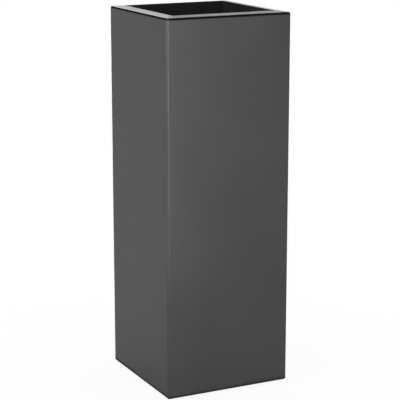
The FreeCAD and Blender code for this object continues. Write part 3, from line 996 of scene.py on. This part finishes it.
# %% [markdown]
# ### Drawn lines
#
# Sheet comes from rolls and wire from a die, and both leave fine straight lines. A Wave texture would be
# too regular, so a noise is stretched along one direction. The group puts out a mask that tone, gloss
# and bump share.

# %% Build the drawn lines group
STRETCH = (1.0, 0.03, 1.0)
LINE_LIMITS = (0.35, 0.65)

drawn, given, result, place = open_group("drawn_lines", [("Scale", NUMBER, 900.0)], [("Mask", NUMBER)])
stretched = add_node(drawn, "Mapping", {"Vector": place["Object"], "Scale": STRETCH})
streaks = soft_noise(drawn, stretched.outputs["Vector"], given["Scale"], detail=3.0)
drawn.links.new(spread(drawn, streaks, *LINE_LIMITS), result["Mask"])
print("group", drawn.name, "nodes", len(drawn.nodes))

# %% [markdown]
# ### Rubbed edges
#
# Handling brightens the sharp edges of bare metal. The Bevel node gives the normal of a rounded edge:
# where it differs from the true normal, an edge is near. That works on any mesh, without painting.

# %% Build the rubbed edge group
LIKENESS_LIMITS = (0.99, 0.85)
BEVEL_SAMPLES = 6

rubbed, given, result, place = open_group(
    "rubbed_edge", [("Width", NUMBER, 0.001), ("Scale", NUMBER, 60.0)], [("Mask", NUMBER)])
rounded = add_node(rubbed, "Bevel", {"Radius": given["Width"]}, samples=BEVEL_SAMPLES)
true_face = rubbed.nodes.new("ShaderNodeNewGeometry")
likeness = add_node(
    rubbed, "VectorMath", {0: rounded.outputs["Normal"], 1: true_face.outputs["Normal"]},
    operation="DOT_PRODUCT")
edge = spread(rubbed, likeness.outputs["Value"], *LIKENESS_LIMITS)
rub = soft_noise(rubbed, place["Object"], given["Scale"], detail=4.0)
rubbed.links.new(calculate(rubbed, "MULTIPLY", edge, rub), result["Mask"])
print("group", rubbed.name, "nodes", len(rubbed.nodes))

# %% [markdown]
# ### From groups to a material
#
# Each finish is one Principled shader, fed by some of the groups. The same steps come up in all four:
# open a material, place a group in it, and join a tone, a roughness and a height to the shader. The
# shader itself stays out of the groups, so that each finish can be read in one place.

# %% Helpers for materials
def open_material(name):
    """A new node material, with its node tree and its Principled shader."""
    material = bpy.data.materials.new(name)
    material.use_nodes = True
    return material, material.node_tree, material.node_tree.nodes["Principled BSDF"]


def place_group(tree, group, **values):
    """Puts a group into a material, sets its inputs and gives its outputs; _ stands for a space."""
    node = add_node(tree, "Group", {}, node_tree=group)
    for label, value in values.items():
        node.inputs[label.replace("_", " ")].default_value = value
    return node.outputs


def wire_shader(tree, shader, tone, roughness, height, depth):
    """Links tone and roughness to the shader, and a height through a Bump node to its normal."""
    bump = add_node(tree, "Bump", {"Height": height, "Distance": depth, "Strength": 1.0})
    tree.links.new(tone, shader.inputs["Base Color"])
    tree.links.new(roughness, shader.inputs["Roughness"])
    tree.links.new(bump.outputs["Normal"], shader.inputs["Normal"])


print("finishes to mix", sorted({slot for piece, slot in made}))

# %% [markdown]
# ### The charcoal coat
#
# The column is powder coated in a dark charcoal with a satin gloss. Its base colour is dark, and most
# of what we see is the white room mirrored in the coat, so the walls pale towards a grazing view. Along
# the folds at the rim and the foot, the colour is painted darker still. This is painted shade, for the
# dark ceiling and the shadowed floor that these round folds mirror. The coat is also glossier at the
# rim, and duller at the foot, where it gets scuffed. The folds could be painted, but Math nodes find
# them too, where a wall and an end of the column are both near.

# %% Mix the charcoal coat
COAT_INDEX = 1.38
COAT_TONE = (0.0235, 0.024, 0.0235, 1)
COAT_OTHER_TONE = (0.0265, 0.027, 0.026, 1)
# Painted shade: a near-black colour for the rim and foot folds, standing for the dark that they mirror.
PAINTED_FOLD_SHADE_TONE = (0.003, 0.003, 0.003, 1)
RIM_FOLD_ROUGHNESS, FOOT_FOLD_ROUGHNESS = 0.18, 0.7
RIM_FOLD_WIDTH, FOOT_FOLD_WIDTH = 0.0085, 0.012
DUST_TONE = (0.30, 0.28, 0.25, 1)
COAT_DUST_ROUGHNESS = 0.8
PEEL_DEPTH = 0.000008


def fold_mask(tree, from_wall, from_end, width):
    """A mask along the folds where the walls meet one end of the column."""
    from_fold = calculate(tree, "MAXIMUM", from_wall, from_end)
    return spread(tree, from_fold, width, width / 2, interpolation_type="SMOOTHSTEP")


coat, tree, shader = open_material("satin_charcoal_coat")
shader.inputs["IOR"].default_value = COAT_INDEX
coat_cloud = place_group(
    tree, cloudy, Tone=COAT_TONE, Other_Tone=COAT_OTHER_TONE, Scale=5.0, Smooth=0.29, Rough=0.33)
place = tree.nodes.new("ShaderNodeTexCoord").outputs
spot = add_node(tree, "SeparateXYZ", {"Vector": place["Object"]}).outputs
from_side = calculate(tree, "SUBTRACT", HALF, calculate(tree, "ABSOLUTE", spot["X"], 0))
from_front = calculate(tree, "SUBTRACT", HALF, calculate(tree, "ABSOLUTE", spot["Y"], 0))
from_wall = calculate(tree, "MINIMUM", from_side, from_front)
from_rim = calculate(tree, "SUBTRACT", RIM_OUTER_LEVEL, spot["Z"])
from_foot = calculate(tree, "SUBTRACT", spot["Z"], FOOT_GAP)
rim_fold = fold_mask(tree, from_wall, from_rim, RIM_FOLD_WIDTH)
foot_fold = fold_mask(tree, from_wall, from_foot, FOOT_FOLD_WIDTH)
# Painted shade: the rim and foot folds are darkened in colour, for the dark ceiling and shadowed floor
# that they mirror.
painted_fold_shade_mask = calculate(tree, "MAXIMUM", rim_fold, foot_fold)
coat_tone = blend_tone(tree, painted_fold_shade_mask, coat_cloud["Color"], PAINTED_FOLD_SHADE_TONE)
coat_gloss = blend_value(tree, rim_fold, coat_cloud["Roughness"], RIM_FOLD_ROUGHNESS)
coat_gloss = blend_value(tree, foot_fold, coat_gloss, FOOT_FOLD_ROUGHNESS)
coat_dust = place_group(tree, dust, Amount=0.03, Scale=40.0)["Mask"]
coat_tone = blend_tone(tree, coat_dust, coat_tone, DUST_TONE)
coat_gloss = blend_value(tree, coat_dust, coat_gloss, COAT_DUST_ROUGHNESS)
peel = place_group(tree, grain, Scale=620.0)["Height"]
wire_shader(tree, shader, coat_tone, coat_gloss, peel, PEEL_DEPTH)
print("material", coat.name, "nodes", len(tree.nodes))

# %% [markdown]
# ### Galvanised sheet
#
# Hot zinc freezes on steel in flat crystals of 10 mm or so, the spangle. A Voronoi texture gives such
# cells, each with one random colour, whose red channel serves as the crystal's tone and gloss. A noise
# bends the coordinates first, because real crystal borders are feathery and not straight.

# %% Mix the galvanised sheet
SPANGLE_SCALE = 85.0
FEATHER, FEATHER_SCALE = 0.006, 140.0
ZINC_TONE = (0.40, 0.415, 0.43, 1)
ZINC_OTHER_TONE = (0.60, 0.61, 0.62, 1)
ZINC_EDGE_TONE = (0.70, 0.70, 0.70, 1)
ZINC_LINE_TONE = (0.46, 0.47, 0.48, 1)
ZINC_LINE_SHARE = 0.3
DARK_ROUGHNESS, PALE_ROUGHNESS = 0.62, 0.50
ZINC_DUST_ROUGHNESS = 0.85
SPANGLE_DEPTH = 0.00002

zinc, tree, shader = open_material("spangled_zinc")
place = tree.nodes.new("ShaderNodeTexCoord").outputs
feather = add_node(tree, "TexNoise", {"Vector": place["Object"], "Scale": FEATHER_SCALE, "Detail": 3.0})
bent = add_node(
    tree, "VectorMath", {0: feather.outputs["Color"], 1: (FEATHER, FEATHER, FEATHER), 2: place["Object"]},
    operation="MULTIPLY_ADD")
crystals = add_node(tree, "TexVoronoi", {"Vector": bent.outputs["Vector"], "Scale": SPANGLE_SCALE})
crystal = add_node(tree, "SeparateColor", {"Color": crystals.outputs["Color"]}).outputs["Red"]
zinc_lines = place_group(tree, drawn, Scale=700.0)["Mask"]
zinc_edge = place_group(tree, rubbed, Width=0.0012, Scale=90.0)["Mask"]
zinc_dust = place_group(tree, dust, Amount=0.35, Scale=25.0)["Mask"]
zinc_tone = blend_tone(tree, crystal, ZINC_TONE, ZINC_OTHER_TONE)
line_mask = calculate(tree, "MULTIPLY", zinc_lines, ZINC_LINE_SHARE)
zinc_tone = blend_tone(tree, line_mask, zinc_tone, ZINC_LINE_TONE)
zinc_tone = blend_tone(tree, zinc_edge, zinc_tone, ZINC_EDGE_TONE)
zinc_tone = blend_tone(tree, zinc_dust, zinc_tone, DUST_TONE)
zinc_gloss = blend_value(tree, crystal, DARK_ROUGHNESS, PALE_ROUGHNESS)
zinc_gloss = blend_value(tree, zinc_dust, zinc_gloss, ZINC_DUST_ROUGHNESS)
tree.links.new(calculate(tree, "SUBTRACT", 1.0, zinc_dust), shader.inputs["Metallic"])
relief = calculate(tree, "ADD", crystal, zinc_lines)
wire_shader(tree, shader, zinc_tone, zinc_gloss, relief, SPANGLE_DEPTH)
print("material", zinc.name, "nodes", len(tree.nodes))

# %% [markdown]
# ### Bright plated steel
#
# The handles, rivets, screws and nuts are plated and blank. They are full metal, with the lines of the
# drawing die, small changes of gloss, and edges that are rubbed brighter. The lines are too fine for a
# mesh, so they work through roughness and bump alone.

# %% Mix the plated steel
STEEL_TONE = (0.56, 0.57, 0.58, 1)
STEEL_OTHER_TONE = (0.66, 0.66, 0.65, 1)
STEEL_EDGE_TONE = (0.80, 0.80, 0.79, 1)
LINE_ROUGHNESS = 0.08
LINE_DEPTH = 0.00001

steel, tree, shader = open_material("bright_plated_steel")
shader.inputs["Metallic"].default_value = 1.0
steel_cloud = place_group(
    tree, cloudy, Tone=STEEL_TONE, Other_Tone=STEEL_OTHER_TONE, Scale=80.0, Smooth=0.20, Rough=0.30)
steel_lines = place_group(tree, drawn, Scale=2400.0)["Mask"]
steel_edge = place_group(tree, rubbed, Width=0.0006, Scale=300.0)["Mask"]
steel_tone = blend_tone(tree, steel_edge, steel_cloud["Color"], STEEL_EDGE_TONE)
line_gloss = calculate(tree, "MULTIPLY", steel_lines, LINE_ROUGHNESS)
steel_gloss = calculate(tree, "ADD", steel_cloud["Roughness"], line_gloss)
wire_shader(tree, shader, steel_tone, steel_gloss, steel_lines, LINE_DEPTH)
print("material", steel.name, "nodes", len(tree.nodes))

# %% [markdown]
# ### Black rubber
#
# The feet, washers and the stopper are moulded rubber: nearly black and matt. One flat black would hide
# their shape, so a mould grain and the grey of settled dust bring it out.

# %% Mix the rubber
RUBBER_TONE = (0.011, 0.011, 0.011, 1)
RUBBER_OTHER_TONE = (0.018, 0.018, 0.017, 1)
GRAIN_DEPTH = 0.00006

rubber, tree, shader = open_material("grained_rubber")
rubber_cloud = place_group(
    tree, cloudy, Tone=RUBBER_TONE, Other_Tone=RUBBER_OTHER_TONE, Scale=45.0, Smooth=0.55, Rough=0.70)
rubber_dust = place_group(tree, dust, Amount=0.15, Scale=90.0)["Mask"]
rubber_tone = blend_tone(tree, rubber_dust, rubber_cloud["Color"], DUST_TONE)
mould_grain = place_group(tree, grain, Scale=2600.0)["Height"]
wire_shader(tree, shader, rubber_tone, rubber_cloud["Roughness"], mould_grain, GRAIN_DEPTH)
print("material", rubber.name, "nodes", len(tree.nodes))

# %% [markdown]
# ### Hand out the finishes
#
# The loaded solids carry plain materials named after their finish, so each is swapped for the one made
# here. The new pieces get theirs by the finish that they were given above. Each could be picked by hand,
# but a loop over the names leaves none out.

# %% Assign the finishes
FINISHES = {
    "charcoal_coat": coat, "galvanised_sheet": zinc, "bright_steel": steel, "black_rubber": rubber}

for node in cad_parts.values():
    node.data.materials[0] = FINISHES[node.data.materials[0].name]
for piece, slot in made:
    piece.data.materials.clear()
    piece.data.materials.append(FINISHES[slot])
print("finished", len(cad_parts), "solids and", len(made), "new pieces")

# %% [markdown]
# ## The studio
#
# The object stands on a plain pale floor that runs out to the horizon, in soft light. A backdrop with a
# hollow bend would look the same in one view. A large plane is right from all sides.

# %% Lay the floor
FLOOR_SIDE = 60.0

bpy.ops.object.select_all(action="DESELECT")
bpy.ops.mesh.primitive_plane_add(size=FLOOR_SIDE, location=(0, 0, 0))
floor = bpy.context.object
floor.name = "studio_floor"
print("floor side", floor.dimensions.x, "m")

# %% [markdown]
# ### White without more light
#
# A floor that is lit until it looks white would throw that light on the object too. So the floor is a
# pale matt surface with a white glow mixed in, by who looks: much glow for the camera, a little for
# mirrors, and none for the rest. The matt share keeps the object's shadow. From below, the floor is
# clear, so that the feet can be looked at.

# %% Give the floor its white
FLOOR_TONE = 0.8
FLOOR_WHITE = 1.07
CAMERA_SHARE = 0.85
MIRROR_SHARE = 0.1

white, tree, shader = open_material("studio_white")
shader.inputs["Base Color"].default_value = (FLOOR_TONE, FLOOR_TONE, FLOOR_TONE, 1)
shader.inputs["Roughness"].default_value = 1.0
shader.inputs["Specular IOR Level"].default_value = 0.0
glow = add_node(tree, "Emission", {"Strength": FLOOR_WHITE})
seen = tree.nodes.new("ShaderNodeLightPath").outputs
in_mirror = calculate(tree, "MAXIMUM", seen["Is Glossy Ray"], seen["Is Transmission Ray"])
for_camera = calculate(tree, "MULTIPLY", seen["Is Camera Ray"], CAMERA_SHARE)
for_mirror = calculate(tree, "MULTIPLY", in_mirror, MIRROR_SHARE)
glow_share = calculate(tree, "ADD", for_camera, for_mirror)
white_blend = add_node(
    tree, "MixShader", {"Fac": glow_share, 1: shader.outputs["BSDF"], 2: glow.outputs["Emission"]})
clear = add_node(tree, "BsdfTransparent", {})
from_below = tree.nodes.new("ShaderNodeNewGeometry").outputs["Backfacing"]
one_sided = add_node(
    tree, "MixShader", {"Fac": from_below, 1: white_blend.outputs["Shader"], 2: clear.outputs["BSDF"]})
tree.links.new(one_sided.outputs["Shader"], tree.nodes["Material Output"].inputs["Surface"])
floor.data.materials.append(white)
print("floor white, nodes", len(tree.nodes))

# %% [markdown]
# ### A lamp for the floor
#
# The floor has a lamp of its own, so that its tone can be set without touching the object's. Light
# linking does that: a lamp has a collection of objects that it may light. A sun that is 80 degrees wide
# is soft enough. The object still stands in its way, which gives the faint shadow round the foot.

# %% Light the floor alone
FLOOR_LEVEL = 0.585
FLOOR_SUN = FLOOR_LEVEL * math.pi / FLOOR_TONE
FLOOR_SUN_SPREAD = math.radians(80)
FLOOR_SUN_HEIGHT = 4.0


def light_only(lamp, name, receivers):
    """Lets a lamp light these objects and nothing else."""
    lit = bpy.data.collections.get(name) or bpy.data.collections.new(name)
    for receiver in receivers:
        if receiver.name not in lit.objects:
            lit.objects.link(receiver)
    lamp.light_linking.receiver_collection = lit


bpy.ops.object.light_add(type="SUN", location=(0, 0, FLOOR_SUN_HEIGHT))
floor_light = bpy.context.object
floor_light.name = "floor_light"
floor_light.data.energy = FLOOR_SUN
floor_light.data.angle = FLOOR_SUN_SPREAD
light_only(floor_light, "lit_floor", [floor])
print("floor light", round(FLOOR_SUN, 3))

# %% [markdown]
# ### Lamps for the outside
#
# A satin coat shows each lamp as a soft patch, so a wall wants large lamps where it mirrors them. Seen
# at a grazing angle, the next wall would mirror them as hard patches. So the front sheet and the rear
# sheet have lamps of their own, again by light linking, and four more, for the rim and the near corner,
# light both. One bright sky would be simpler, but it leaves the walls flat.

# %% Light the two sheets
coat_pieces = [skin, rear_skin]


def softbox(name, place, aim, width, height, watts, lit_name, receivers):
    """A soft rectangular light on some pieces, turned to a point, that the camera doesn't see."""
    bpy.ops.object.light_add(type="AREA", location=place)
    lamp = bpy.context.object
    lamp.name = name
    lamp.data.shape = "RECTANGLE"
    lamp.data.size, lamp.data.size_y = width, height
    lamp.data.energy = watts
    lamp.rotation_euler = (Vector(aim) - Vector(place)).to_track_quat("-Z", "Y").to_euler()
    lamp.visible_camera = False
    light_only(lamp, lit_name, receivers)
    print(name, "watts", watts, "pieces lit", len(receivers))
    return lamp


# A lamp's row has its name, its place, the point it is turned to, its width, its height and its watts.
front_lamps = (
    ("left_softbox", (-2.4, 0.0, 0.95), (0, 0, 0.85), 1.7, 1.0, 33),
    ("front_softbox", (0.2, -3.6, 0.85), (0, 0, 0.6), 1.3, 1.1, 72),
    ("high_softbox", (-0.9, -2.7, 3.0), (0, 0, 0.5), 1.6, 1.2, 32),
    ("front_card", (-0.05, -1.9, 0.5), (0, 0, 0.5), 0.8, 0.75, 7.5),
    ("low_card", (-0.1, -1.35, 0.18), (-0.1, 0, 0.2), 0.7, 0.3, 3.8),
    ("edge_card", (-1.3, -0.1, 0.2), (-0.17, -0.17, 0.25), 1.1, 0.35, 2.4))
rear_lamps = (
    ("rear_softbox", (0.0, 2.4, 0.5), (0, 0, 0.5), 0.6, 0.9, 12),
    ("side_softbox", (2.4, 0.0, 0.5), (0, 0, 0.5), 0.6, 0.9, 12))
coat_lamps = (
    ("corner_softbox", (-1.9, -1.9, 0.6), (0, 0, 0.5), 1.7, 1.3, 14),
    ("back_softbox", (1.5, 3.2, 1.75), (0, 0, 1.0), 2.4, 1.0, 16),
    ("right_softbox", (2.9, 3.0, 1.0), (0, 0, 0.5), 3.2, 1.8, 8),
    ("top_softbox", (-0.6, -0.3, 3.9), (0, 0, 0.9), 1.8, 1.8, 170))
coat_groups = (
    ("lit_front", [skin], front_lamps), ("lit_rear", [rear_skin], rear_lamps),
    ("lit_coat", coat_pieces, coat_lamps))
for lit_name, receivers, lamps in coat_groups:
    for lamp in lamps:
        softbox(*lamp, lit_name, receivers)

# %% [markdown]
# ### Lamps for the inside and the underside
#
# The pieces inside are mostly bare zinc and need less light than the dark coat. One set of lamps for
# all would burn them out, so they have three lamps of their own. One small lamp shines up from under
# the floor, for a look at the feet. The floor would stop it, so only the object's own pieces are in its
# collection of blockers.

# %% Light the inside and the underside
UNDER_SPREAD = math.radians(40)

inner_pieces = list(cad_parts.values()) + [piece for piece, slot in made if slot != "charcoal_coat"]
inner_lamps = (
    ("inner_left_softbox", (-2.6, -2.4, 2.2), (0, 0, 0.9), 2.2, 2.2, 45),
    ("inner_right_softbox", (2.6, 2.4, 2.2), (0, 0, 0.9), 2.2, 2.2, 45),
    ("inner_top_softbox", (0.3, -0.3, 3.6), (0, 0, 0.6), 1.6, 1.6, 70))
for lamp in inner_lamps:
    softbox(*lamp, "lit_inside", inner_pieces)
under_lamp = softbox(
    "under_softbox", (0, 0, -0.6), (0, 0, 0), 0.3, 0.3, 0.28, "lit_under", coat_pieces + inner_pieces)
under_lamp.data.spread = UNDER_SPREAD
under_lamp.light_linking.blocker_collection = bpy.data.collections["lit_under"]

# %% [markdown]
# ### The room
#
# Where the coat mirrors no lamp, it mirrors the room. A low band of white, as of pale walls, fades into
# a dark ceiling, so that the rim turns pale at a grazing view and the walls stay dark. The camera sees
# plain white instead. A picture of a studio could be used, but a fade by height needs no file.

# %% Set the room
BAND_LOW, BAND_HIGH = 0.02, 0.14
BAND_WHITE, CEILING = 0.594, 0.015
PLAIN_WHITE = (1, 1, 1, 1)

world = bpy.data.worlds.new("studio_world")
bpy.context.scene.world = world
world.use_nodes = True
tree = world.node_tree
outward = tree.nodes.new("ShaderNodeTexCoord").outputs["Generated"]
upward = add_node(tree, "SeparateXYZ", {"Vector": outward}).outputs["Z"]
band = {"From Min": BAND_LOW, "From Max": BAND_HIGH, "To Min": BAND_WHITE, "To Max": CEILING}
fade = add_node(tree, "MapRange", {"Value": upward, **band})
room = tree.nodes["Background"]
room.inputs["Color"].default_value = PLAIN_WHITE
tree.links.new(fade.outputs["Result"], room.inputs["Strength"])
beyond = add_node(tree, "Background", {"Color": PLAIN_WHITE})
for_camera = tree.nodes.new("ShaderNodeLightPath").outputs["Is Camera Ray"]
room_blend = add_node(
    tree, "MixShader",
    {"Fac": for_camera, 1: room.outputs["Background"], 2: beyond.outputs["Background"]})
tree.links.new(room_blend.outputs["Shader"], tree.nodes["World Output"].inputs["Surface"])
bpy.context.scene.view_settings.view_transform = "Standard"
print("room band", BAND_WHITE, "ceiling", CEILING, "nodes", len(tree.nodes))
